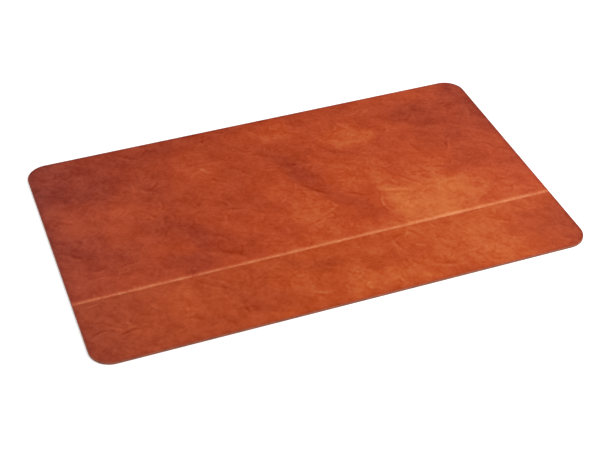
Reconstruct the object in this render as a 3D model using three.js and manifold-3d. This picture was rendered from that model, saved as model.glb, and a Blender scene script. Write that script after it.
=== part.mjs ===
// Leather desk pad: two leather panels joined by a sewn lap seam, bonded over a thin stiffener
// and a suede backing, with sealed edges.
// Millimetres, +Z up, +X along the pad, +Y to the rear. The desk is z = 0, under the middle.

import * as THREE from 'three';
import { mergeVertices } from 'three/addons/utils/BufferGeometryUtils.js';
import Module from 'manifold-3d';

const wasm = await Module();
wasm.setup();

// Outline
const padLength = 650;
const padDepth = 400;
const cornerRadius = 28;
const frontStripDepth = 110; // from the front edge to the seam line

// Layers, from the desk up
const backingThickness = 0.5;
const glueThickness = 0.1;
const stiffenerThickness = 0.4;
const leatherThickness = 1.5;
const bondGap = 0.02; // hairline between bonded faces

// Edges
const paintThickness = 0.3;
const paintGap = 0.05; // between the paint and the layers that it seals
const paintLift = 0.1; // the paint ends this far above the desk
const leatherEdgeRadius = 0.5;

// Lap seam
const lapWidth = 9;
const lapClearance = 0.3; // at the end of the tongue
const seamGap = 0.1; // between the two panels at the line
const tapeThickness = 0.1;
const tapeMargin = 0.5; // from the tape to the stitch slots and to the end of the tongue

// Stitching
const stitchPitch = 6.4;
const stitchInset = 2; // from the rear panel's seam edge to the stitch line
const stitchEndMargin = 3; // least distance from a slot's middle to the side of the panel
const stitchReach = 0.6; // along the seam, from a slot's middle to where the thread is level again
const needleThreadDiameter = 0.7;
const bobbinThreadDiameter = 0.35;
const grooveDepth = 0.3; // the top groove that the needle thread lies in
const threadClearance = 0.05;
const threadLockGap = 0.2; // between the two threads where they lock
const threadEndInset = 0.1; // from a thread's end to the side of the panel
const threadSides = 5;

const arcSegments = 6; // two facets for each in a rounded corner
const edgeSegments = 2; // in the rounded top edge of the leather
const cutMargin = 1; // a cutting body reaches this far past what it cuts
const mergeDistance = 1e-4; // corners nearer than this are one point

const layerInset = paintThickness + paintGap;
const halfLength = padLength / 2 - layerInset;
const frontY = -padDepth / 2 + layerInset;
const rearY = padDepth / 2 - layerInset;
const layerRadius = cornerRadius - layerInset;
const seamY = -padDepth / 2 + frontStripDepth;
const stitchY = seamY + stitchInset;

const lowerGlueZ = backingThickness + bondGap;
const stiffenerZ = lowerGlueZ + glueThickness + bondGap;
const upperGlueZ = stiffenerZ + stiffenerThickness + bondGap;
const leatherZ = upperGlueZ + glueThickness + bondGap;
const leatherTopZ = leatherZ + leatherThickness;

// In the lap both panels are skived: the tongue below, the tape, then the rear panel's lap.
const tongueThickness = (leatherThickness - tapeThickness) / 2 - bondGap;
const tapeZ = leatherZ + tongueThickness + bondGap;
const lapUnderside = tongueThickness + tapeThickness + 2 * bondGap;
const slotHalfLength = stitchReach + threadClearance;
const slotHalfWidth = needleThreadDiameter / 2 + threadClearance;

const leather = { color: 0xb5502d, roughness: 0.5, metalness: 0 };
const thread = { color: 0xe08659, roughness: 0.7, metalness: 0 };
const finishes = {
  backing: { color: 0x6b4a36, roughness: 0.95, metalness: 0 },
  glue: { color: 0xd8c79a, roughness: 0.4, metalness: 0 },
  stiffener: { color: 0x8a6a4c, roughness: 0.9, metalness: 0 },
  tape: { color: 0xe8e4da, roughness: 0.6, metalness: 0 },
  paint: { color: 0x8a4730, roughness: 0.5, metalness: 0 },
};

const pad = new THREE.Group();
pad.name = 'leather_desk_pad';

function addPiece(name, geometry, finish, z = 0) {
  const mesh = new THREE.Mesh(geometry, new THREE.MeshStandardMaterial(finish));
  mesh.name = name;
  mesh.position.z = z;
  pad.add(mesh);
}

function toSolid(geometry) {
  const bare = geometry.clone();
  bare.deleteAttribute('normal');
  bare.deleteAttribute('uv');
  const merged = mergeVertices(bare, mergeDistance);
  return new wasm.Manifold(new wasm.Mesh({
    numProp: 3,
    vertProperties: merged.attributes.position.array,
    triVerts: new Uint32Array(merged.index.array),
  }));
}

function toGeometry(solid) {
  const mesh = solid.getMesh();
  const geometry = new THREE.BufferGeometry();
  geometry.setAttribute('position', new THREE.BufferAttribute(mesh.vertProperties, 3));
  geometry.setIndex(new THREE.BufferAttribute(mesh.triVerts, 1));
  geometry.computeVertexNormals();
  return geometry;
}

// A box given by its two opposite corners.
function boxBetween([x0, y0, z0], [x1, y1, z1]) {
  const box = new THREE.BoxGeometry(x1 - x0, y1 - y0, z1 - z0);
  return box.translate((x0 + x1) / 2, (y0 + y1) / 2, (z0 + z1) / 2);
}

// An outline as wide as the pad between two depths, with a radius for the front pair of corners
// and one for the rear pair. A radius of 0 leaves those corners square.
function outline(halfWidth, y0, y1, frontRadius, rearRadius) {
  const shape = new THREE.Shape();
  const corners = [
    [halfWidth, y0, -1, 1, frontRadius],
    [halfWidth, y1, -1, -1, rearRadius],
    [-halfWidth, y1, 1, -1, rearRadius],
    [-halfWidth, y0, 1, 1, frontRadius],
  ];
  shape.moveTo(-halfWidth + frontRadius, y0);
  corners.forEach(([x, y, inX, inY, radius], i) => {
    const start = (i - 1) * Math.PI / 2;
    if (radius > 0) {
      shape.absarc(x + inX * radius, y + inY * radius, radius, start, start + Math.PI / 2);
    } else {
      shape.lineTo(x, y);
    }
  });
  shape.closePath();
  return shape;
}

// A flat layer cut to the whole pad, inside the edge paint.
function layer(thickness) {
  const shape = outline(halfLength, frontY, rearY, layerRadius, layerRadius);
  const settings = { depth: thickness, bevelEnabled: false, curveSegments: arcSegments };
  return new THREE.ExtrudeGeometry(shape, settings);
}

// A leather panel with a rounded top edge and a flat underside at z = 0.
function panel(shape) {
  const rounded = new THREE.ExtrudeGeometry(shape, {
    depth: leatherThickness,
    curveSegments: arcSegments,
    bevelThickness: leatherEdgeRadius,
    bevelSize: leatherEdgeRadius,
    bevelOffset: -leatherEdgeRadius,
    bevelSegments: edgeSegments,
  });
  rounded.translate(0, 0, -leatherEdgeRadius);
  const reach = padLength + padDepth;
  const below = boxBetween(
    [-reach, -reach, -2 * leatherEdgeRadius - cutMargin],
    [reach, reach, 0],
  );
  return toSolid(rounded).subtract(toSolid(below));
}

// The middles of the stitch slots along the seam.
function slotPositions() {
  const room = 2 * (halfLength - stitchEndMargin);
  const pitches = Math.floor(room / stitchPitch);
  return Array.from({ length: pitches + 1 }, (_, i) => (i - pitches / 2) * stitchPitch);
}

// One straight groove along the seam, as wide as the slots, from side to side of the panel.
function groove(z0, z1) {
  const end = halfLength + cutMargin;
  const [y0, y1] = [stitchY - slotHalfWidth, stitchY + slotHalfWidth];
  return toSolid(boxBetween([-end, y0, z0], [end, y1, z1]));
}

function cutSlots(solid) {
  return slotPositions().reduce((left, x) => {
    const slot = boxBetween(
      [x - slotHalfLength, stitchY - slotHalfWidth, -cutMargin],
      [x + slotHalfLength, stitchY + slotHalfWidth, leatherThickness + cutMargin],
    );
    return left.subtract(toSolid(slot));
  }, solid);
}

function frontPanel() {
  const bodyRear = seamY - seamGap;
  const body = panel(outline(halfLength, frontY, bodyRear, layerRadius, 0));
  const tongue = boxBetween(
    [-halfLength, bodyRear - lapWidth, 0],
    [halfLength, seamY + lapWidth, tongueThickness],
  );
  const bobbinGroove = groove(-cutMargin, bobbinThreadDiameter + 2 * threadClearance);
  return toGeometry(cutSlots(body.add(toSolid(tongue)).subtract(bobbinGroove)));
}

function rearPanel() {
  const body = panel(outline(halfLength, seamY, rearY, 0, layerRadius));
  const rabbet = boxBetween(
    [-halfLength - cutMargin, seamY - cutMargin, -cutMargin],
    [halfLength + cutMargin, seamY + lapWidth + lapClearance, lapUnderside],
  );
  const needleGroove = groove(leatherThickness - grooveDepth, leatherThickness + cutMargin);
  return toGeometry(cutSlots(body.subtract(toSolid(rabbet)).subtract(needleGroove)));
}

function seamTape() {
  return boxBetween(
    [-halfLength, stitchY + slotHalfWidth + tapeMargin, 0],
    [halfLength, seamY + lapWidth - tapeMargin, tapeThickness],
  );
}

// A thread that lies level between the slots and turns to the locking height in each one.
function stitchedThread(diameter, levelZ, lockZ) {
  const end = halfLength - threadEndInset;
  const path = [[-end, levelZ]];
  for (const x of slotPositions()) {
    path.push([x - stitchReach, levelZ], [x, lockZ], [x + stitchReach, levelZ]);
  }
  path.push([end, levelZ]);
  const radius = diameter / 2;
  const rings = path.length - 1;
  const geometry = new THREE.CylinderGeometry(radius, radius, 1, threadSides, rings);
  geometry.rotateZ(-Math.PI / 2);
  const position = geometry.attributes.position;
  for (let i = 0; i < position.count; i += 1) {
    const [x, z] = path[Math.round((position.getX(i) + 0.5) * rings)];
    position.setXYZ(i, x, stitchY + position.getY(i), z + position.getZ(i));
  }
  geometry.computeVertexNormals();
  return geometry;
}

function needleThread() {
  const radius = needleThreadDiameter / 2;
  const levelZ = leatherTopZ - grooveDepth + threadClearance + radius;
  return stitchedThread(needleThreadDiameter, levelZ, tapeZ + threadLockGap / 2 + radius);
}

function bobbinThread() {
  const radius = bobbinThreadDiameter / 2;
  const levelZ = leatherZ + threadClearance + radius;
  return stitchedThread(bobbinThreadDiameter, levelZ, tapeZ - threadLockGap / 2 - radius);
}

// The sealed edge: a ring round all the layers, up to where the leather's edge rounds over.
function edgePaint() {
  const halfY = padDepth / 2;
  const ring = outline(padLength / 2, -halfY, halfY, cornerRadius, cornerRadius);
  const innerY = halfY - paintThickness;
  const innerRadius = cornerRadius - paintThickness;
  const inner = outline(padLength / 2 - paintThickness, -innerY, innerY, innerRadius, innerRadius);
  ring.holes.push(inner);
  const height = leatherTopZ - leatherEdgeRadius - paintLift;
  const settings = { depth: height, bevelEnabled: false, curveSegments: arcSegments };
  return new THREE.ExtrudeGeometry(ring, settings);
}

addPiece('backing_sheet', layer(backingThickness), finishes.backing);
addPiece('lower_glue_film', layer(glueThickness), finishes.glue, lowerGlueZ);
addPiece('stiffener_sheet', layer(stiffenerThickness), finishes.stiffener, stiffenerZ);
addPiece('upper_glue_film', layer(glueThickness), finishes.glue, upperGlueZ);
addPiece('front_panel', frontPanel(), leather, leatherZ);
addPiece('rear_panel', rearPanel(), leather, leatherZ);
addPiece('seam_tape', seamTape(), finishes.tape, tapeZ);
addPiece('needle_thread', needleThread(), thread);
addPiece('bobbin_thread', bobbinThread(), thread);
addPiece('edge_paint', edgePaint(), finishes.paint, paintLift);

export default pad;
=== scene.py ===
import math
import random

import bmesh
import bpy
from mathutils import Matrix, Vector, kdtree, noise


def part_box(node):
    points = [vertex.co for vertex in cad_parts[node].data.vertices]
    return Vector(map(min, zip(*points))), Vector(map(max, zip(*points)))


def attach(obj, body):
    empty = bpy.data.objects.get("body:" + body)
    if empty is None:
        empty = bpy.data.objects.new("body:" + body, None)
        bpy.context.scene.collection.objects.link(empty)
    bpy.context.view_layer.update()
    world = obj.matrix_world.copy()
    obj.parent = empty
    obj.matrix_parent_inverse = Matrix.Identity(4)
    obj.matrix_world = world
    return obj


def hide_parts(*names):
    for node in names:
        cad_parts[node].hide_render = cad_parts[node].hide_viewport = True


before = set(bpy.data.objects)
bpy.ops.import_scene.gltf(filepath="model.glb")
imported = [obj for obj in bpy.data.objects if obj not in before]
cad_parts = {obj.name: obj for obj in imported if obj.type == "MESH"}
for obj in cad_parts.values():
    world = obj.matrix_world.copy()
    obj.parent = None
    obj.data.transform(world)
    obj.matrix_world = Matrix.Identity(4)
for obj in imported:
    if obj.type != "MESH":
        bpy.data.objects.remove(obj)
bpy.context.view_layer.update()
print("frame loaded:", len(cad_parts), "solids")

mm = 0.001
tiny = 1e-6  # nearer points are one
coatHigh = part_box("edge_paint")[1]
rearLow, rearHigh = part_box("rear_panel")
frontLow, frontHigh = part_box("front_panel")
threadLow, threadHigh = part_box("needle_thread")
backLow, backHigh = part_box("backing_sheet")

pad = dict(
    cornerRadius=28 * mm,  # outside the edge coat
    halfLength=coatHigh.x,
    halfDepth=coatHigh.y,
    skinInset=coatHigh.x - rearHigh.x,  # the leather stops this far inside the coat
    skinTop=rearHigh.z,
    skinBase=rearLow.z,
    seamY=rearLow.y,
    threadY=(threadLow.y + threadHigh.y) / 2,
    stitchPitch=6.4 * mm,
)


# Helpers for every piece

def linear(code):
    parts = [int(code[i:i + 2], 16) / 255 for i in (1, 3, 5)]
    return tuple(c / 12.92 if c <= 0.04045 else ((c + 0.055) / 1.055) ** 2.4 for c in parts) + (1.0,)


def addNode(tree, kind, settings=None, links=None):
    node = tree.nodes.new(kind)
    for key, value in (settings or {}).items():
        if key == "stops":  # places and colours of a colour ramp
            while len(node.color_ramp.elements) < len(value):
                node.color_ramp.elements.new(1.0)
            for element, (place, code) in zip(node.color_ramp.elements, value):
                element.position = place
                element.color = linear(code)
        elif isinstance(key, int) or key in node.inputs:
            node.inputs[key].default_value = value
        else:
            setattr(node, key, value)
    for key, source in (links or {}).items():
        tree.links.new(source, node.inputs[key])
    return node


def newMaterial(name):
    material = bpy.data.materials.new(name)
    material.use_nodes = True
    material.node_tree.nodes.clear()
    return material, material.node_tree


def finishPiece(bm, name, material, nodes, smooth=True):
    bmesh.ops.remove_doubles(bm, verts=bm.verts[:], dist=tiny)
    bmesh.ops.recalc_face_normals(bm, faces=bm.faces[:])
    for face in bm.faces:
        face.smooth = smooth
    mesh = bpy.data.meshes.new(name)
    bm.to_mesh(mesh)
    bm.free()
    mesh.materials.append(material)
    piece = bpy.data.objects.new(name, mesh)
    bpy.context.scene.collection.objects.link(piece)
    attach(piece, "root")
    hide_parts(*nodes)
    print("made", name, len(mesh.polygons), "faces")
    return piece


# Camera at the photograph's view of the pad

view = dict(
    place=(-0.47335, -1.25026, 1.07057),
    azimuth=-20.820,
    elevation=39.538,
    roll=0.398,
    lens=77.715,
    sensor=36.0,
)

cameraData = bpy.data.cameras.new("camera")
cameraData.lens = view["lens"]
cameraData.sensor_width = view["sensor"]
camera = bpy.data.objects.new("camera", cameraData)
bpy.context.scene.collection.objects.link(camera)
turn = (
    Matrix.Rotation(math.radians(view["azimuth"]), 4, "Z")
    @ Matrix.Rotation(math.radians(90 - view["elevation"]), 4, "X")
    @ Matrix.Rotation(math.radians(view["roll"]), 4, "Z")
)
camera.matrix_world = Matrix.Translation(view["place"]) @ turn
bpy.context.scene.camera = camera
print("camera set")


# Leather, vegetable tanned and hand dyed: cloudy rust with smoky bands, short creases in drifts
# and a satin wax finish. The grain is drawn coarser than life, or it would not show.

# Light and shade are painted into the colour too: a falloff across the hide, highlights on crease ridges
# and at the seam's rolled edge, shade in the folds and needle holes.
hides = dict(
    rear=dict(
        hidePlace=(0.31, 0.12, 0.0),
        hideTurn=0.0,
        level=0.465,
        paintedLightSlope=(0.36, -0.34),  # painted light falloff, lighter to the right and to the front: tone gained per metre of length and of depth
        # x, y, half length, half width in mm, turn in degrees, tone added, share that fades out
        patches=[
            (-345, 90, 170, 280, 0, -0.15, 1.0),
            (360, 60, 160, 300, 0, -0.31, 1.0),
            (172, -50, 84, 56, 8, 0.09, 0.45),
            (150, -66, 50, 34, 25, 0.04, 0.7),
            (131, -30, 38, 62, 0, 0.10, 0.8),
            (222, 134, 90, 60, -30, -0.17, 0.9),
            (38, 40, 130, 27, -64, -0.12, 0.8),
            (-140, -25, 115, 36, -42, -0.10, 0.8),
            (80, -45, 50, 24, -35, -0.07, 0.7),
            (-110, 105, 75, 42, 15, 0.07, 0.8),
            (118, 122, 60, 34, -20, 0.10, 0.6),
            (5, -15, 60, 40, 30, 0.06, 0.8),
            (-250, 50, 80, 60, 0, 0.09, 0.9),
            (0, 165, 80, 32, 0, 0.10, 0.8),
            (0, 220, 420, 75, 0, -0.07, 1.0),
            (305, 178, 75, 55, 0, -0.10, 1.0),
            (195, 76, 62, 36, -20, -0.10, 0.9),
            (238, 8, 52, 44, 0, -0.08, 0.9),
            (-160, -66, 62, 26, -15, -0.13, 0.8),
            (-224, 132, 55, 42, 0, -0.09, 0.9),
            (-292, 72, 62, 48, 0, 0.10, 0.9),
            (305, 36, 60, 50, 0, 0.09, 0.9),
            (-165, 172, 62, 36, 0, -0.08, 0.9),
            (244, 74, 62, 44, 0, -0.07, 0.9),
            (268, -52, 46, 44, 0, 0.035, 0.8),
        ],
        tones=("#6e1e0f", "#8e2b11", "#b54210", "#cf6e2f", "#e28e51"),
        seamSide=1,
        seamHighlight=0.10,
    ),
    front=dict(
        hidePlace=(-0.27, 0.63, 0.4),
        hideTurn=0.35,
        level=0.48,
        paintedLightSlope=(0.30, 0.0),
        patches=[
            (-350, -150, 140, 160, 0, -0.12, 1.0),
            (350, -160, 150, 150, 0, -0.30, 1.0),
            (225, -168, 80, 30, 8, 0.02, 0.6),
            (-95, -160, 80, 34, -30, -0.09, 0.8),
            (40, -172, 50, 26, 20, 0.10, 0.6),
            (-10, -120, 70, 20, -18, -0.06, 0.8),
            (-205, -125, 50, 28, -20, 0.06, 0.7),
            (98, -172, 60, 30, 0, 0.09, 0.8),
            (-225, -178, 110, 30, 0, -0.06, 0.9),
        ],
        tones=("#6d200f", "#8e2d10", "#b5450e", "#cf6e2c", "#e28f50"),
        seamSide=-1,
        seamHighlight=0.0,
    ),
)

# sizes and reliefs in mm, turns in degrees, shares in tone
dye = dict(
    driftSize=55, driftReach=9, patchReach=34,
    cloudSize=60, cloudShare=0.25,
    blotchSize=20, blotchShare=0.09, blotchTurn=-38, blotchStretch=1.5,
    fleckSize=5.0, fleckShare=0.29,
    strokeLength=12, strokeWidth=3.0, strokeShare=0.11, strokeRelief=0.4,
    strokeLays=((-30, 0.46, 0.60), (48, 0.56, 0.42)),  # turn, then the cloud where it starts and is full
    # painted highlight on crease ridges and painted shade in folds, troughs and needle holes, then the
    # darker rim
    creaseLightShare=0.10, rimShare=0.13,
    highlightWidth=10, highlightUneven=(0.5, 1.5), lipWidth=2.8, lipFade=4.2, lipHighlightShare=0.15,  # painted highlight at the seam's rolled edge and on the lip behind it
    waxLevel=0.08, waxBroad=0.35, waxFine=1.65, waxReach=1.8,  # plain, by tone, towards the ends
    roughness=(0.62, 0.46),
    grainSize=0.7, grainRelief=0.14,
)


def leatherMaterial(name, hide):
    material, tree = newMaterial(name)
    spot = addNode(tree, "ShaderNodeTexCoord").outputs["Object"]
    skin = addNode(tree, "ShaderNodeMapping", {
        "Location": hide["hidePlace"], "Rotation": (0, 0, hide["hideTurn"]),
    }, {"Vector": spot}).outputs["Vector"]

    # a slow drift pulls the patches, and less so the finer patterns, out of round
    drift = addNode(tree, "ShaderNodeTexNoise", {
        "Scale": 1000 / dye["driftSize"], "Detail": 4.0, "Roughness": 0.6,
    }, {"Vector": skin}).outputs["Color"]
    drift = addNode(tree, "ShaderNodeVectorMath", {
        "operation": "SUBTRACT", 1: (0.5, 0.5, 0.5),
    }, {0: drift}).outputs["Vector"]
    pulled, patched = [addNode(tree, "ShaderNodeVectorMath", {
        "operation": "MULTIPLY_ADD", 1: (2 * reach * mm, 2 * reach * mm, 0),
    }, {0: drift, 2: base}).outputs["Vector"] for reach, base in (
        (dye["driftReach"], skin), (dye["patchReach"], spot))]
    slanted = addNode(tree, "ShaderNodeMapping", {
        "vector_type": "TEXTURE", "Rotation": (0, 0, math.radians(dye["blotchTurn"])),
        "Scale": (dye["blotchStretch"], 1, 1),
    }, {"Vector": pulled}).outputs["Vector"]

    # dye: clouds, crisper blotches, flecks
    cloud = addNode(tree, "ShaderNodeTexNoise", {
        "Scale": 1000 / dye["cloudSize"], "Detail": 2.0, "Roughness": 0.5,
    }, {"Vector": pulled}).outputs["Fac"]
    blotch = addNode(tree, "ShaderNodeTexNoise", {
        "Scale": 1000 / dye["blotchSize"], "Detail": 7.0, "Roughness": 0.66, "Distortion": 0.2,
    }, {"Vector": slanted}).outputs["Fac"]
    mottle = addNode(tree, "ShaderNodeMapRange", {
        "interpolation_type": "SMOOTHSTEP", "From Min": 0.36, "From Max": 0.64,
    }, {"Value": blotch}).outputs["Result"]
    fleck = addNode(tree, "ShaderNodeTexNoise", {
        "Scale": 1000 / dye["fleckSize"], "Detail": 2.6, "Roughness": 0.66,
    }, {"Vector": pulled}).outputs["Fac"]

    # short strokes that lie two ways, each way where the clouds favour it
    strokes = []
    for turn, start, full in dye["strokeLays"]:
        laid = addNode(tree, "ShaderNodeMapping", {
            "vector_type": "TEXTURE", "Rotation": (0, 0, math.radians(turn)),
            "Scale": (dye["strokeLength"] * mm, dye["strokeWidth"] * mm, 1),
        }, {"Vector": pulled}).outputs["Vector"]
        laid = addNode(tree, "ShaderNodeTexNoise", {
            "Scale": 1.0, "Detail": 4.0, "Roughness": 0.62, "Distortion": 0.6,
        }, {"Vector": laid}).outputs["Fac"]
        laid = addNode(tree, "ShaderNodeMath", {
            "operation": "SUBTRACT", 1: 0.5,
        }, {0: laid}).outputs["Value"]
        where = addNode(tree, "ShaderNodeMapRange", {
            "interpolation_type": "SMOOTHSTEP", "From Min": start, "From Max": full,
        }, {"Value": cloud}).outputs["Result"]
        strokes.append(addNode(tree, "ShaderNodeMath", {
            "operation": "MULTIPLY",
        }, {0: laid, 1: where}).outputs["Value"])
    stroke = addNode(tree, "ShaderNodeMath", {
        "operation": "ADD",
    }, {0: strokes[0], 1: strokes[1]}).outputs["Value"]

    # creases pressed into the panel, which carry painted highlight on ridges and painted shade in folds
    # and needle holes, and the darker rim along its cut edges
    crease, rim = [addNode(tree, "ShaderNodeAttribute", {"attribute_name": layer}).outputs["Fac"]
                   for layer in ("crease", "rim")]

    # tone: a slope of painted light falloff over the hide, then the dye's patches, then the finer parts
    parts = addNode(tree, "ShaderNodeSeparateXYZ", None, {0: spot}).outputs
    tone = addNode(tree, "ShaderNodeMath", {
        "operation": "MULTIPLY_ADD", 1: hide["paintedLightSlope"][0], 2: hide["level"],
    }, {0: parts["X"]}).outputs["Value"]
    tone = addNode(tree, "ShaderNodeMath", {
        "operation": "MULTIPLY_ADD", 1: hide["paintedLightSlope"][1],
    }, {0: parts["Y"], 2: tone}).outputs["Value"]
    for x, y, halfLength, halfWidth, turn, amount, fade in hide["patches"]:
        patch = addNode(tree, "ShaderNodeMapping", {
            "vector_type": "TEXTURE", "Location": (x * mm, y * mm, 0),
            "Rotation": (0, 0, math.radians(turn)), "Scale": (halfLength * mm, halfWidth * mm, 1),
        }, {"Vector": patched}).outputs["Vector"]
        patch = addNode(tree, "ShaderNodeTexGradient", {
            "gradient_type": "SPHERICAL",
        }, {"Vector": patch}).outputs["Fac"]
        patch = addNode(tree, "ShaderNodeMapRange", {
            "interpolation_type": "SMOOTHSTEP", "From Max": fade, "To Max": amount,
        }, {"Value": patch}).outputs["Result"]
        tone = addNode(tree, "ShaderNodeMath", {
            "operation": "ADD",
        }, {0: tone, 1: patch}).outputs["Value"]
    for pattern, middle, share in (
            (cloud, 0.5, dye["cloudShare"]),
            (rim, 0.0, -dye["rimShare"]),
            (mottle, 0.5, dye["blotchShare"]),
            (fleck, 0.5, dye["fleckShare"]),
            (stroke, 0.0, dye["strokeShare"]),
            (crease, 0.0, dye["creaseLightShare"])):
        if pattern is mottle:
            broad = tone  # for the wax, which follows the finer parts more
        tone = addNode(tree, "ShaderNodeMath", {
            "operation": "MULTIPLY_ADD", 1: share,
        }, {0: pattern, 2: tone}).outputs["Value"]
        tone = addNode(tree, "ShaderNodeMath", {
            "operation": "SUBTRACT", 1: middle * share,
        }, {0: tone}).outputs["Value"]

    # painted highlight: the rolled edge at the seam painted paler, unevenly along its length
    seamLit = addNode(tree, "ShaderNodeMapRange", {
        "interpolation_type": "SMOOTHSTEP", "From Min": pad["seamY"],
        "From Max": pad["seamY"] + hide["seamSide"] * dye["highlightWidth"] * mm,
        "To Min": hide["seamHighlight"], "To Max": 0.0,
    }, {"Value": parts["Y"]}).outputs["Result"]
    litUneven = addNode(tree, "ShaderNodeMapRange", {
        "From Min": 0.3, "From Max": 0.7, "To Min": dye["highlightUneven"][0], "To Max": dye["highlightUneven"][1],
    }, {"Value": blotch}).outputs["Result"]
    tone = addNode(tree, "ShaderNodeMath", {
        "operation": "MULTIPLY_ADD",
    }, {0: seamLit, 1: litUneven, 2: tone}).outputs["Value"]
    # a painted highlight on the slope of the lip behind the seam
    if hide["seamHighlight"]:
        lip = addNode(tree, "ShaderNodeMapRange", {
            "interpolation_type": "SMOOTHSTEP", "From Min": pad["seamY"] + dye["lipWidth"] * mm,
            "From Max": pad["seamY"] + (dye["lipWidth"] + dye["lipFade"]) * mm,
            "To Min": dye["lipHighlightShare"], "To Max": 0.0,
        }, {"Value": parts["Y"]}).outputs["Result"]
        tone = addNode(tree, "ShaderNodeMath", {
            "operation": "ADD",
        }, {0: tone, 1: lip}).outputs["Value"]

    colour = addNode(tree, "ShaderNodeValToRGB", {
        "stops": list(zip((0.0, 0.2, 0.5, 0.8, 1.0), hide["tones"])),
    }, {"Fac": tone}).outputs["Color"]

    # finish: waxed, shinier on pale places, on the finer parts most of all, and towards the ends
    reach = addNode(tree, "ShaderNodeMath", {
        "operation": "MULTIPLY",
    }, {0: parts["X"], 1: parts["X"]}).outputs["Value"]
    wax = addNode(tree, "ShaderNodeMath", {
        "operation": "MULTIPLY_ADD", 1: dye["waxReach"], 2: dye["waxLevel"],
    }, {0: reach}).outputs["Value"]
    wax = addNode(tree, "ShaderNodeMath", {
        "operation": "MULTIPLY_ADD", 1: dye["waxBroad"] - dye["waxFine"],
    }, {0: broad, 2: wax}).outputs["Value"]
    wax = addNode(tree, "ShaderNodeMath", {
        "operation": "MULTIPLY_ADD", 1: dye["waxFine"], "use_clamp": True,
    }, {0: tone, 2: wax}).outputs["Value"]
    satin = addNode(tree, "ShaderNodeMapRange", {
        "From Min": 0.3, "From Max": 0.7, "To Min": dye["roughness"][0], "To Max": dye["roughness"][1],
    }, {"Value": blotch}).outputs["Result"]

    # relief: fine strokes, then the pebble of the grain
    wrinkled = addNode(tree, "ShaderNodeBump", {
        "Strength": 1.0, "Distance": dye["strokeRelief"] * mm,
    }, {"Height": stroke}).outputs["Normal"]
    pebble = addNode(tree, "ShaderNodeTexVoronoi", {
        "feature": "SMOOTH_F1", "Scale": 1000 / dye["grainSize"], "Smoothness": 0.35,
    }, {"Vector": pulled}).outputs["Distance"]
    grained = addNode(tree, "ShaderNodeBump", {
        "Strength": 1.0, "Distance": dye["grainRelief"] * mm,
    }, {"Height": pebble, "Normal": wrinkled}).outputs["Normal"]

    shader = addNode(tree, "ShaderNodeBsdfPrincipled", {
        "IOR": 1.45,
    }, {"Base Color": colour, "Roughness": satin, "Specular IOR Level": wax, "Normal": grained})
    addNode(tree, "ShaderNodeOutputMaterial", None, {"Surface": shader.outputs["BSDF"]})
    return material


rearLeather = leatherMaterial("vegetable_tanned_leather_rear", hides["rear"])
frontLeather = leatherMaterial("vegetable_tanned_leather_front", hides["front"])


# Leather panels: a close grid with turned corners, a rolled edge and a slightly uneven top

panel = dict(
    stitchColumns=4,  # columns to one stitch
    cornerColumns=17,
    cornerSteps=24,
    rowPitch=1.65 * mm,
    # rows of the grid near the seam, in mm behind it and in front of it
    rearSeamRows=(0.9, 1.2, 1.5, 1.75, 2.0, 2.25, 2.5, 2.8, 3.2, 3.8, 4.6, 5.6, 6.8, 8.1),
    frontSeamRows=(8.0, 6.6, 5.4, 4.3, 3.4, 2.6, 1.9, 1.3, 0.9, 0.0),
    seamGap=0.1 * mm,
    edgeRoll=0.5 * mm,
    rollSegments=3,
    topReach=0.505 * mm,  # down to the foot of the rolled edge
    lapWidth=9 * mm,
    lapRoom=0.3 * mm,
    lapBase=2.0 * mm,  # underside of the rear panel where it laps the tongue
    tongueTop=1.86 * mm,
    stepGap=0.02 * mm,
    swell=0.10 * mm,
    swellSize=40 * mm,
    rimWidth=3.4 * mm,
    valleyDepth=0.24 * mm,
    valleyWidth=0.6 * mm,
    valleyEnd=1.6 * mm,  # the valley runs out between one and two of these from the coat
    holeDepth=0.32 * mm,
    holeSize=0.8 * mm,
    holeShade=1.2,  # painted shade in the needle holes, as dark as this many full creases
)


def columnPlaces():
    arc = pad["cornerRadius"] - pad["skinInset"]
    inner = pad["halfLength"] - pad["skinInset"] - arc
    pitch = pad["stitchPitch"] / panel["stitchColumns"]
    count = round(inner / pitch)
    half = [inner * i / count for i in range(1, count + 1)]
    half += [inner + arc * i / panel["cornerColumns"] for i in range(1, panel["cornerColumns"] + 1)]
    return [-x for x in reversed(half)] + [0.0] + half


def evenRows(start, end):
    count = max(1, round(abs(end - start) / panel["rowPitch"]))
    return [start + (end - start) * i / count for i in range(1, count + 1)]


def skinGrid(rows, cornerSide):
    columns = columnPlaces()
    bm = bmesh.new()
    bmesh.ops.create_grid(bm, x_segments=len(columns) - 1, y_segments=len(rows) - 1, size=0.5)
    for v in bm.verts:
        column = round((v.co.x + 0.5) * (len(columns) - 1))
        row = round((v.co.y + 0.5) * (len(rows) - 1))
        v.co = Vector((columns[column], rows[row][0], rows[row][1]))
    # the square corners come off, and a quarter turn of the side's edges fills each one
    arc = pad["cornerRadius"] - pad["skinInset"]
    innerX = pad["halfLength"] - pad["skinInset"] - arc
    innerY = cornerSide * (pad["halfDepth"] - pad["skinInset"] - arc)
    square = [f for f in bm.faces if abs(f.calc_center_median().x) > innerX
              and cornerSide * (f.calc_center_median().y - innerY) > 0]
    bmesh.ops.delete(bm, geom=square, context="FACES")
    for side in (-1, 1):
        spoke = [e for e in bm.edges if all(
            abs(v.co.y - innerY) < tiny and side * v.co.x > innerX - tiny for v in e.verts)]
        bmesh.ops.spin(
            bm, geom=spoke, cent=(side * innerX, innerY, 0), axis=(0, 0, 1),
            angle=side * cornerSide * math.pi / 2, steps=panel["cornerSteps"], use_merge=False)
    bmesh.ops.remove_doubles(bm, verts=bm.verts[:], dist=10 * tiny)
    return bm


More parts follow.
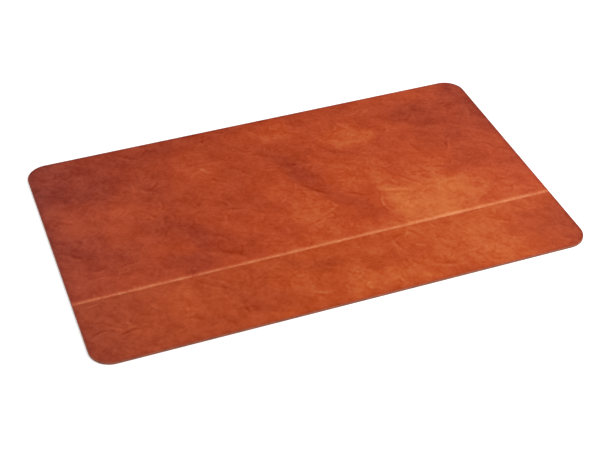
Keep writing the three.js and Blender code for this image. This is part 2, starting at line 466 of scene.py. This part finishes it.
def closeSkin(bm, underside, extraEdges):
    rim = [e for e in bm.edges if e.is_boundary]
    made = bmesh.ops.extrude_edge_only(bm, edges=rim)["geom"]
    for v in [g for g in made if isinstance(g, bmesh.types.BMVert)]:
        v.co.z = underside(v.co.y)
    bottom = [e for e in bm.edges if e.is_boundary]
    bottom += [bm.edges.new(pair) for pair in extraEdges(bm)]
    bmesh.ops.edgenet_fill(bm, edges=bottom)
    bmesh.ops.recalc_face_normals(bm, faces=bm.faces[:])


def rollEdges(bm):
    sharp = [e for e in bm.edges if len(e.link_faces) == 2 and e.calc_face_angle() > 1.0
             and all(v.co.z > pad["skinTop"] - tiny for v in e.verts)]
    bmesh.ops.bevel(
        bm, geom=sharp, offset=panel["edgeRoll"], offset_type="OFFSET", affect="EDGES",
        segments=panel["rollSegments"], profile=0.5, material=-1)


def onTop(v):
    return v.co.z > pad["skinTop"] - panel["topReach"]


def closeGroove(bm):
    # at the ends of the seam the groove between the panels comes up under the coat
    roll = panel["edgeRoll"]
    for v in bm.verts:
        out = abs(v.co.x) - (rearHigh.x - roll)
        if out > -tiny and abs(v.co.y - pad["seamY"]) < 1.5 * roll and onTop(v):
            v.co.z = pad["skinTop"] - roll + math.sqrt(max(0.0, roll ** 2 - max(0.0, out) ** 2))


# Creases: start, turn at the start, length, turn over the length, half width, height in mm and degrees.
# Ridges stand up and folds go down, the ridges with a painted highlight and the folds with painted
# shade; each has a shallow trough or swell at its right, painted darker or paler to match.

creases = dict(
    rear=dict(
        seed=11,
        count=560,
        placed=[
            (113, -19, -130, 38, 75, 1.6, 0.30), (113, -9, -15, 44, -5, 2.4, 0.26),
            (151, 11, -53, 32, 10, 2.2, -0.26), (195, 18, -18, 27, -10, 2.2, -0.22),
            (253, 71, -118, 33, 8, 1.7, 0.26), (236, 66, -112, 26, 14, 1.5, 0.16),
            (12, -11, -60, 24, -24, 2.2, 0.07), (20, -34, 20, 28, 16, 2.0, 0.22),
            (240, 11, 90, 30, 330, 1.2, 0.22), (116, 161, -85, 24, 34, 1.5, 0.24),
            (156, 160, 50, 20, -30, 1.7, 0.22), (212, 127, 36, 20, 24, 1.9, -0.20),
            (196, 80, -95, 24, 22, 1.9, -0.20), (300, 104, 60, 24, 22, 1.8, 0.22),
            (288, 57, 110, 22, 44, 1.6, 0.22), (70, 2, -35, 24, 10, 2.2, -0.24),
            (26, 26, -40, 26, -14, 2.2, -0.22), (-93, 23, -20, 25, 14, 2.0, -0.28),
            (-150, -44, -20, 72, -20, 3.4, -0.20), (-188, 101, -65, 15, 0, 1.5, 0.26),
            (-182, 90, -35, 12, 20, 1.5, -0.22), (-200, 38, 80, 27, -300, 1.2, 0.20),
            (-187, 43, -60, 7, 0, 1.8, -0.26), (-122, 136, 2, 37, -10, 3.0, 0.20),
            (-102, 121, -50, 23, -10, 2.0, 0.22), (-90, 92, -70, 12, 30, 1.6, -0.24),
            (-314, 10, -45, 42, 16, 2.4, -0.15), (-308, 79, -40, 25, 12, 2.4, 0.22),
            (-252, -42, 30, 30, -60, 1.5, -0.12), (32, 176, 90, 28, 310, 1.2, 0.20),
        ],
    ),
    front=dict(
        seed=23,
        count=190,
        placed=[
            (-173, -96, -42, 57, 6, 2.2, -0.18), (-100, -118, -22, 34, 12, 2.0, -0.17),
            (146, -112, -100, 25, 10, 1.9, -0.18), (-314, -150, 30, 19, -30, 1.5, -0.32),
            (-296, -143, -5, 17, -40, 1.5, 0.22), (-281, -159, 34, 12, -50, 1.4, -0.34),
            (-270, -154, -16, 14, 20, 1.5, -0.20), (112, -97, -95, 18, -70, 1.5, 0.22),
            (90, -112, -85, 21, 10, 1.8, -0.20), (-43, -165, -36, 26, 14, 1.8, 0.22),
            (34, -180, 90, 30, 330, 1.2, 0.20), (118, -167, -26, 37, 12, 2.2, -0.22),
            (230, -116, -30, 22, 0, 2.4, -0.18), (-235, -118, -80, 20, 60, 1.6, 0.20),
            (-295, -134, -39, 11, 10, 1.5, -0.24), (-283, -143, -49, 11, 30, 1.5, -0.28),
            (-272, -151, 3, 13, 14, 1.5, 0.22), (-266, -137, -72, 7, 0, 1.7, -0.26),
        ],
    ),
    length=(5, 30),  # most are short
    bend=110,
    halfWidth=(1.0, 2.2),
    height=(0.05, 0.20),
    fullHeight=0.22,  # gives a tone of one
    fade=2.5 * mm,  # at the outline and at the stitches
    ridgeShare=0.55,
    driftSize=55,  # creases crowd where this slow noise is high
    crowding=(-0.5, 0.4),
    lay=-35,  # most lie near this turn
    spread=55,
    reach=3.4,  # in half widths, as is the trough
    trough=0.5,
    troughPlace=2.0,
    troughSpread=1.3,
    tip=0.06,  # the ends of a crease are this far along half a wave
    plump=0.7,
)


def scatterCreases(sheet, low, high):
    draw = random.Random(sheet["seed"])
    strokes = list(sheet["placed"])
    while len(strokes) < sheet["count"] + len(sheet["placed"]):
        x, y = draw.uniform(low.x, high.x) / mm, draw.uniform(low.y, high.y) / mm
        crowd = noise.noise(Vector((x, y, sheet["seed"])) / creases["driftSize"])
        turn = draw.gauss(creases["lay"], creases["spread"])
        size = draw.random() ** 2
        bend = draw.uniform(-creases["bend"], creases["bend"])
        length, halfWidth, height = [
            least + (most - least) * (size + draw.random()) / 2
            for least, most in (creases["length"], creases["halfWidth"], creases["height"])]
        ridge = draw.random() < creases["ridgeShare"]
        if draw.uniform(*creases["crowding"]) < crowd:
            strokes.append((x, y, turn, length, bend, halfWidth, height if ridge else -height))
    return strokes


def outlineGap(v):
    # distance in from the cut outline of both panels together
    arc = pad["cornerRadius"] - pad["skinInset"]
    dx = abs(v.co.x) - (pad["halfLength"] - pad["cornerRadius"])
    dy = abs(v.co.y) - (pad["halfDepth"] - pad["cornerRadius"])
    return arc - math.hypot(max(dx, 0), max(dy, 0)) - min(max(dx, dy), 0)


def pressCreases(bm, strokes):
    layer = bm.verts.layers.float.new("crease")
    tops = [v for v in bm.verts if onTop(v)]
    tree = kdtree.KDTree(len(tops))
    for i, v in enumerate(tops):
        tree.insert((v.co.x, v.co.y, 0), i)
    tree.balance()
    press = [0.0] * len(tops)
    for x, y, turn, length, bend, halfWidth, height in strokes:
        point = Vector((x, y, 0)) * mm
        width = halfWidth * mm
        steps = math.ceil(length)
        near = {}
        for s in range(steps + 1):
            angle = math.radians(turn + bend * s / steps)
            ahead = Vector((math.cos(angle), math.sin(angle), 0))
            for place, i, gap in tree.find_range(point, creases["reach"] * width):
                if i not in near or gap < near[i][0]:
                    near[i] = (gap, ahead.cross(place - point).z / width, s / steps)
            point += ahead * length / steps * mm
        for i, (gap, across, along) in near.items():
            beyond = max(0.0, gap / width - abs(across))
            trough = math.exp(-(across + creases["troughPlace"]) ** 2 / creases["troughSpread"])
            shape = math.exp(-across ** 2) - creases["trough"] * trough
            wave = math.sin(math.pi * (creases["tip"] + (1 - 2 * creases["tip"]) * along))
            press[i] += height * shape * wave ** creases["plump"] * math.exp(-beyond ** 2)
    for v, height in zip(tops, press):
        gap = min(outlineGap(v), abs(v.co.y - pad["threadY"]))
        height *= 1 - math.exp(-(gap / creases["fade"]) ** 2)
        v.co.z += height * mm
        # the layer paints ridges paler and folds darker: painted highlight and painted shade
        v[layer] = height / creases["fullHeight"]


def unevenTop(bm, seed, stitched):
    rim = bm.verts.layers.float.new("rim")
    crease = bm.verts.layers.float["crease"]
    for v in bm.verts:
        v[rim] = math.exp(-(outlineGap(v) / panel["rimWidth"]) ** 2)
        if not onTop(v):
            continue
        v.co.z += panel["swell"] * noise.noise(v.co / panel["swellSize"] + seed)
        if stitched:
            across = v.co.y - pad["threadY"]
            along = v.co.x - pad["stitchPitch"] * round(v.co.x / pad["stitchPitch"])
            ending = min(1.0, max(0.0, (rearHigh.x - abs(v.co.x)) / panel["valleyEnd"] - 1))
            valley = ending * math.exp(-(across / panel["valleyWidth"]) ** 2)
            hole = math.exp(-(math.hypot(across, along) / panel["holeSize"]) ** 2)
            v.co.z -= panel["valleyDepth"] * valley + panel["holeDepth"] * hole
            # painted shade in the needle holes, carried by the crease layer
            v[crease] -= panel["holeShade"] * hole


def atSides(bm, y, z):
    return [v for v in bm.verts if abs(v.co.y - y) < tiny and abs(v.co.z - z) < tiny
            and abs(abs(v.co.x) - rearHigh.x) < tiny]


top = pad["skinTop"]
seamY = pad["seamY"]
arcStart = pad["halfDepth"] - pad["cornerRadius"]
cornerRow = (pad["cornerRadius"] - pad["skinInset"]) / panel["cornerColumns"]
step = seamY + panel["lapWidth"] + panel["lapRoom"]
stepFront, stepRear = step - panel["stepGap"], step + panel["stepGap"]

# rear panel, from its seam edge to the back
rearYs = [seamY] + [seamY + r * mm for r in panel["rearSeamRows"]] + [stepFront, stepRear]
rearYs += evenRows(stepRear, arcStart)
rearYs += [arcStart + cornerRow * i for i in range(1, panel["cornerColumns"] + 1)]
bm = skinGrid([(y, top) for y in rearYs], 1)
closeSkin(
    bm, lambda y: panel["lapBase"] if y < step else pad["skinBase"],
    lambda bm: [atSides(bm, stepFront, panel["lapBase"]), atSides(bm, stepRear, pad["skinBase"])])
rollEdges(bm)
closeGroove(bm)
pressCreases(bm, scatterCreases(creases["rear"], rearLow, rearHigh))
unevenTop(bm, Vector((3.1, 7.7, 1.3)), True)
rearPanel = finishPiece(bm, "rear_leather", rearLeather, ["rear_panel"])

# front panel, from the front edge to the end of its tongue
bodyRear = seamY - panel["seamGap"]
frontYs = [-(arcStart + cornerRow * i) for i in range(panel["cornerColumns"], -1, -1)]
frontYs += evenRows(-arcStart, bodyRear - panel["frontSeamRows"][0] * mm)
frontYs += [bodyRear - r * mm for r in panel["frontSeamRows"][1:]]
frontRows = [(y, top) for y in frontYs]
frontRows += [(bodyRear + panel["stepGap"], panel["tongueTop"]), (frontHigh.y, panel["tongueTop"])]
bm = skinGrid(frontRows, -1)
closeSkin(bm, lambda y: pad["skinBase"], lambda bm: [])
rollEdges(bm)
closeGroove(bm)
pressCreases(bm, scatterCreases(creases["front"], frontLow, frontHigh))
unevenTop(bm, Vector((9.4, 2.2, 5.6)), False)
frontPanel = finishPiece(bm, "front_leather", frontLeather, ["front_panel"])


# Waxed linen thread, three plies twisted together: soft sheen, soiled in places, and each stitch
# dips into its hole. The fibres are drawn coarser than life.

thread = dict(
    radius=0.37 * mm,
    plies=3,
    plyDepth=0.20,
    twistPitch=1.1 * mm,  # from one ply to the next
    ringsPerStitch=36,
    sides=12,
    crown=0.06 * mm,  # the thread's middle above the leather
    dip=-0.80 * mm,
    lean=0.14 * mm,
    flatness=14,
    fibreSize=0.5,  # mm
    soilSize=18,
)


def threadMaterial():
    material, tree = newMaterial("waxed_linen_thread")
    spot = addNode(tree, "ShaderNodeTexCoord").outputs["Object"]
    fibre = addNode(tree, "ShaderNodeTexNoise", {
        "Scale": 1000 / thread["fibreSize"], "Detail": 3.0, "Roughness": 0.6,
    }, {"Vector": spot}).outputs["Fac"]
    soil = addNode(tree, "ShaderNodeTexNoise", {
        "Scale": 1000 / thread["soilSize"], "Detail": 2.0, "Roughness": 0.5,
    }, {"Vector": spot}).outputs["Fac"]
    shade = addNode(tree, "ShaderNodeMath", {
        "operation": "MULTIPLY_ADD", 1: 0.5,
    }, {0: fibre, 2: soil}).outputs["Value"]
    colour = addNode(tree, "ShaderNodeValToRGB", {"stops": [
        (0.42, "#c75f35"), (0.72, "#e68051"), (0.98, "#f8aa7c"),
    ]}, {"Fac": shade}).outputs["Color"]
    rough = addNode(tree, "ShaderNodeMapRange", {
        "To Min": 0.5, "To Max": 0.75,
    }, {"Value": fibre}).outputs["Result"]
    bump = addNode(tree, "ShaderNodeBump", {
        "Strength": 0.4, "Distance": 0.05 * mm,
    }, {"Height": fibre}).outputs["Normal"]
    shader = addNode(tree, "ShaderNodeBsdfPrincipled", {
        "IOR": 1.5, "Sheen Weight": 0.2, "Sheen Roughness": 0.5,
    }, {"Base Color": colour, "Roughness": rough, "Normal": bump})
    addNode(tree, "ShaderNodeOutputMaterial", None, {"Surface": shader.outputs["BSDF"]})
    return material


def threadPlace(x):
    s = x / pad["stitchPitch"] - math.floor(x / pad["stitchPitch"])
    rise = 1 - abs(math.cos(math.pi * s)) ** thread["flatness"]
    z = pad["skinTop"] + thread["dip"] + (thread["crown"] - thread["dip"]) * rise
    return Vector((x, pad["threadY"] + thread["lean"] * (2 * s - 1) * rise, z))


stitches = math.floor(threadHigh.x / pad["stitchPitch"])  # to either side of the middle
threadEnd = stitches * pad["stitchPitch"]
rings = 2 * stitches * thread["ringsPerStitch"]
bm = bmesh.new()
bmesh.ops.create_grid(bm, x_segments=rings, y_segments=thread["sides"], size=0.5)
for v in bm.verts:
    x = 2 * threadEnd * v.co.x
    angle = 2 * math.pi * (v.co.y + 0.5)
    ply = math.cos(thread["plies"] * angle - 2 * math.pi * x / thread["twistPitch"])
    radius = thread["radius"] * (1 - thread["plyDepth"] * (1 - ply) / 2)
    v.co = threadPlace(x) + Vector((0, radius * math.cos(angle), radius * math.sin(angle)))
bmesh.ops.remove_doubles(bm, verts=bm.verts[:], dist=tiny / 10)
bmesh.ops.holes_fill(bm, edges=[e for e in bm.edges if e.is_boundary], sides=0)
linenThread = threadMaterial()
finishPiece(bm, "seam_thread", linenThread, ["needle_thread"])
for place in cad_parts["bobbin_thread"].material_slots:
    place.material = linenThread  # under the lap


# Edge coat, acrylic paint brushed on: a satin brown bead, a little wavy, that wraps the cut layers
# and creeps over the top

coat = dict(
    cornerSteps=24,
    waveSize=9,  # mm
    # inward distance and height in mm, round the bead's section
    section=[
        (0.34, 0.10), (0.12, 0.12), (0.02, 0.30), (0.00, 0.60), (0.00, 1.90), (0.04, 2.22),
        (0.16, 2.48), (0.36, 2.64), (0.62, 2.71), (0.95, 2.72), (1.00, 2.70),
        (0.84, 2.69), (0.62, 2.64), (0.46, 2.54), (0.36, 2.36), (0.34, 2.10),
    ],
)


def coatMaterial():
    material, tree = newMaterial("acrylic_edge_paint")
    spot = addNode(tree, "ShaderNodeTexCoord").outputs["Object"]
    wave = addNode(tree, "ShaderNodeTexNoise", {
        "Scale": 1000 / coat["waveSize"], "Detail": 4.0, "Roughness": 0.6,
    }, {"Vector": spot}).outputs["Fac"]
    colour = addNode(tree, "ShaderNodeValToRGB", {"stops": [
        (0.30, "#87442b"), (0.55, "#9d5337"), (0.80, "#b06344"),
    ]}, {"Fac": wave}).outputs["Color"]
    rough = addNode(tree, "ShaderNodeMapRange", {
        "From Min": 0.3, "From Max": 0.7, "To Min": 0.42, "To Max": 0.6,
    }, {"Value": wave}).outputs["Result"]
    bump = addNode(tree, "ShaderNodeBump", {
        "Strength": 0.3, "Distance": 0.08 * mm,
    }, {"Height": wave}).outputs["Normal"]
    shader = addNode(tree, "ShaderNodeBsdfPrincipled", {
        "IOR": 1.49, "Specular IOR Level": 0.3,
    }, {"Base Color": colour, "Roughness": rough, "Normal": bump})
    addNode(tree, "ShaderNodeOutputMaterial", None, {"Surface": shader.outputs["BSDF"]})
    return material


def outlineLoop(bm, inset, z):
    made = bmesh.ops.create_grid(bm, x_segments=1, y_segments=1, size=1.0)["verts"]
    for v in made:
        v.co = Vector((v.co.x * (pad["halfLength"] - inset), v.co.y * (pad["halfDepth"] - inset), z))
    turned = bmesh.ops.bevel(
        bm, geom=made, offset=pad["cornerRadius"] - inset, offset_type="OFFSET", affect="VERTICES",
        segments=coat["cornerSteps"], profile=0.5, material=-1, clamp_overlap=False)
    return turned["verts"][0].link_faces[0]


def moveToOutline(v, inset, z):
    # every point of the outline is on one of the four corner arcs
    radius = pad["cornerRadius"]
    centre = Vector((
        math.copysign(pad["halfLength"] - radius, v.co.x),
        math.copysign(pad["halfDepth"] - radius, v.co.y), 0))
    outward = Vector((v.co.x, v.co.y, 0)) - centre
    v.co = centre + outward.normalized() * (radius - inset) + Vector((0, 0, z))


bm = bmesh.new()
face = outlineLoop(bm, coat["section"][0][0] * mm, coat["section"][0][1] * mm)
loop = face.edges[:]
bmesh.ops.delete(bm, geom=[face], context="FACES_ONLY")
for inset, z in coat["section"][1:] + coat["section"][:1]:
    made = bmesh.ops.extrude_edge_only(bm, edges=loop)["geom"]
    loop = [g for g in made if isinstance(g, bmesh.types.BMEdge)]
    for v in [g for g in made if isinstance(g, bmesh.types.BMVert)]:
        moveToOutline(v, inset * mm, z * mm)
finishPiece(bm, "edge_coat", coatMaterial(), ["edge_paint"])


# Suede backing, brushed split leather: matt, with a short nap that lies in soft patches

backing = dict(
    edgeRound=0.12 * mm,
    napSize=1.2,  # mm
    laySize=35,
)


def suedeMaterial():
    material, tree = newMaterial("brushed_suede")
    spot = addNode(tree, "ShaderNodeTexCoord").outputs["Object"]
    nap = addNode(tree, "ShaderNodeTexNoise", {
        "Scale": 1000 / backing["napSize"], "Detail": 4.0, "Roughness": 0.7,
    }, {"Vector": spot}).outputs["Fac"]
    lay = addNode(tree, "ShaderNodeTexNoise", {
        "Scale": 1000 / backing["laySize"], "Detail": 3.0, "Roughness": 0.55, "Distortion": 0.7,
    }, {"Vector": spot}).outputs["Fac"]
    shade = addNode(tree, "ShaderNodeMath", {
        "operation": "MULTIPLY_ADD", 1: 0.6,
    }, {0: nap, 2: lay}).outputs["Value"]
    colour = addNode(tree, "ShaderNodeValToRGB", {"stops": [
        (0.50, "#4b3122"), (0.80, "#6b4a36"), (1.00, "#86624a"),
    ]}, {"Fac": shade}).outputs["Color"]
    rough = addNode(tree, "ShaderNodeMapRange", {
        "To Min": 0.82, "To Max": 0.98,
    }, {"Value": lay}).outputs["Result"]
    bump = addNode(tree, "ShaderNodeBump", {
        "Strength": 0.6, "Distance": 0.2 * mm,
    }, {"Height": nap}).outputs["Normal"]
    shader = addNode(tree, "ShaderNodeBsdfPrincipled", {
        "IOR": 1.45, "Sheen Weight": 0.35, "Sheen Roughness": 0.4, "Specular IOR Level": 0.2,
    }, {"Base Color": colour, "Roughness": rough, "Normal": bump})
    addNode(tree, "ShaderNodeOutputMaterial", None, {"Surface": shader.outputs["BSDF"]})
    return material


bm = bmesh.new()
sole = outlineLoop(bm, coatHigh.x - backHigh.x, backLow.z)
made = bmesh.ops.extrude_face_region(bm, geom=[sole])["geom"]
for v in [g for g in made if isinstance(g, bmesh.types.BMVert)]:
    v.co.z = backHigh.z
bmesh.ops.recalc_face_normals(bm, faces=bm.faces[:])
rims = [e for e in bm.edges if e.calc_face_angle(0) > 1.0
        and abs(e.verts[0].co.z - e.verts[1].co.z) < tiny / 10]
bmesh.ops.bevel(
    bm, geom=rims, offset=backing["edgeRound"], offset_type="OFFSET", affect="EDGES",
    segments=2, profile=0.5, material=-1)
suedeBack = finishPiece(bm, "suede_backing", suedeMaterial(), ["backing_sheet"], smooth=False)


# Inner layers keep their solids: flecked brown fibreboard, clear yellowish glue and matt tissue tape

inner = dict(  # material, its tones, fleck in mm, roughness
    stiffener_sheet=("pressed_fibreboard", ("#7d6449", "#8a6b4c", "#9b7d5d"), 2.0, 0.85),
    lower_glue_film=("contact_adhesive", ("#c9b98c", "#d9c799", "#e4d6ae"), 3.0, 0.45),
    upper_glue_film=("contact_adhesive", ("#c9b98c", "#d9c799", "#e4d6ae"), 3.0, 0.45),
    seam_tape=("tissue_tape", ("#dedad0", "#e8e3d9", "#f2eee6"), 1.5, 0.7),
)


def innerMaterial(name, codes, size, roughness):
    material, tree = newMaterial(name)
    spot = addNode(tree, "ShaderNodeTexCoord").outputs["Object"]
    fleck = addNode(tree, "ShaderNodeTexNoise", {
        "Scale": 1000 / size, "Detail": 4.0, "Roughness": 0.65,
    }, {"Vector": spot}).outputs["Fac"]
    colour = addNode(tree, "ShaderNodeValToRGB", {
        "stops": list(zip((0.3, 0.5, 0.7), codes)),
    }, {"Fac": fleck}).outputs["Color"]
    rough = addNode(tree, "ShaderNodeMapRange", {
        "To Min": roughness - 0.08, "To Max": roughness + 0.08,
    }, {"Value": fleck}).outputs["Result"]
    bump = addNode(tree, "ShaderNodeBump", {
        "Strength": 0.3, "Distance": 0.05 * mm,
    }, {"Height": fleck}).outputs["Normal"]
    shader = addNode(tree, "ShaderNodeBsdfPrincipled", {
        "IOR": 1.47,
    }, {"Base Color": colour, "Roughness": rough, "Normal": bump})
    addNode(tree, "ShaderNodeOutputMaterial", None, {"Surface": shader.outputs["BSDF"]})
    return material


innerMaterials = {}
for node, (name, codes, size, roughness) in inner.items():
    if name not in innerMaterials:
        innerMaterials[name] = innerMaterial(name, codes, size, roughness)
    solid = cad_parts[node]
    for place in solid.material_slots:
        place.material = innerMaterials[name]
print("inner layers finished")


# Stage: white floor, soft light from the front right, a weak one from behind at the left, even sky

stage = dict(
    floorSize=6.0,
    floorDrop=0.1 * mm,
    skyLevel=0.45,
    keyPlace=(0.95, -0.55, 1.50),
    keyAim=(0.0, 0.0, 0.0),
    keySize=(0.9, 0.8),
    keyPower=24.0,
    fillPlace=(-0.75, 1.15, 1.05),
    fillAim=(-0.20, 0.0, 0.0),
    fillSize=(1.0, 1.0),
    fillPower=3.8,
    glowNear=0.36,  # round the pad, where it leaves the shadow
    glowFar=0.60,
    glowRise=(0.6, 1.6),
)

bm = bmesh.new()
bmesh.ops.create_grid(bm, x_segments=1, y_segments=1, size=stage["floorSize"])
for v in bm.verts:
    v.co.z = -stage["floorDrop"]
floorMesh = bpy.data.meshes.new("floor")
bm.to_mesh(floorMesh)
bm.free()
floor = bpy.data.objects.new("floor", floorMesh)
bpy.context.scene.collection.objects.link(floor)
material, tree = newMaterial("white_studio_floor")
paths = addNode(tree, "ShaderNodeLightPath").outputs
seen = addNode(tree, "ShaderNodeMath", {
    "operation": "MAXIMUM",
}, {0: paths["Is Camera Ray"], 1: paths["Is Glossy Ray"]}).outputs["Value"]
seen = addNode(tree, "ShaderNodeMath", {
    "operation": "MAXIMUM",
}, {0: seen, 1: paths["Is Transmission Ray"]}).outputs["Value"]
away = addNode(tree, "ShaderNodeVectorMath", {
    "operation": "LENGTH",
}, {0: addNode(tree, "ShaderNodeTexCoord").outputs["Object"]}).outputs["Value"]
glow = addNode(tree, "ShaderNodeMapRange", {
    "From Min": stage["glowRise"][0], "From Max": stage["glowRise"][1],
    "To Min": stage["glowNear"], "To Max": stage["glowFar"],
}, {"Value": away}).outputs["Result"]
glow = addNode(tree, "ShaderNodeMath", {"operation": "MULTIPLY"}, {0: glow, 1: seen}).outputs["Value"]
paper = addNode(tree, "ShaderNodeBsdfDiffuse", {"Color": linear("#f6f6f6")})
lift = addNode(tree, "ShaderNodeEmission", {"Color": (1, 1, 1, 1)}, {"Strength": glow})
both = addNode(tree, "ShaderNodeAddShader", None, {0: paper.outputs[0], 1: lift.outputs[0]})
addNode(tree, "ShaderNodeOutputMaterial", None, {"Surface": both.outputs[0]})
floorMesh.materials.append(material)

for lamp in ("key", "fill"):
    lampData = bpy.data.lights.new(lamp, "AREA")
    lampData.shape = "RECTANGLE"
    lampData.size, lampData.size_y = stage[lamp + "Size"]
    lampData.energy = stage[lamp + "Power"]
    lampObject = bpy.data.objects.new(lamp, lampData)
    bpy.context.scene.collection.objects.link(lampObject)
    place = Vector(stage[lamp + "Place"])
    facing = (Vector(stage[lamp + "Aim"]) - place).to_track_quat("-Z", "Y")
    lampObject.matrix_world = Matrix.Translation(place) @ facing.to_matrix().to_4x4()

world = bpy.data.worlds.new("studio")
world.use_nodes = True
tree = world.node_tree
tree.nodes.clear()
paths = addNode(tree, "ShaderNodeLightPath").outputs
level = addNode(tree, "ShaderNodeMapRange", {
    "To Min": stage["skyLevel"], "To Max": 1.0,
}, {"Value": paths["Is Camera Ray"]}).outputs["Result"]
sky = addNode(tree, "ShaderNodeBackground", {"Color": (1, 1, 1, 1)}, {"Strength": level})
addNode(tree, "ShaderNodeOutputWorld", None, {"Surface": sky.outputs[0]})
bpy.context.scene.world = world
bpy.context.scene.view_settings.view_transform = "Standard"
print("stage set")
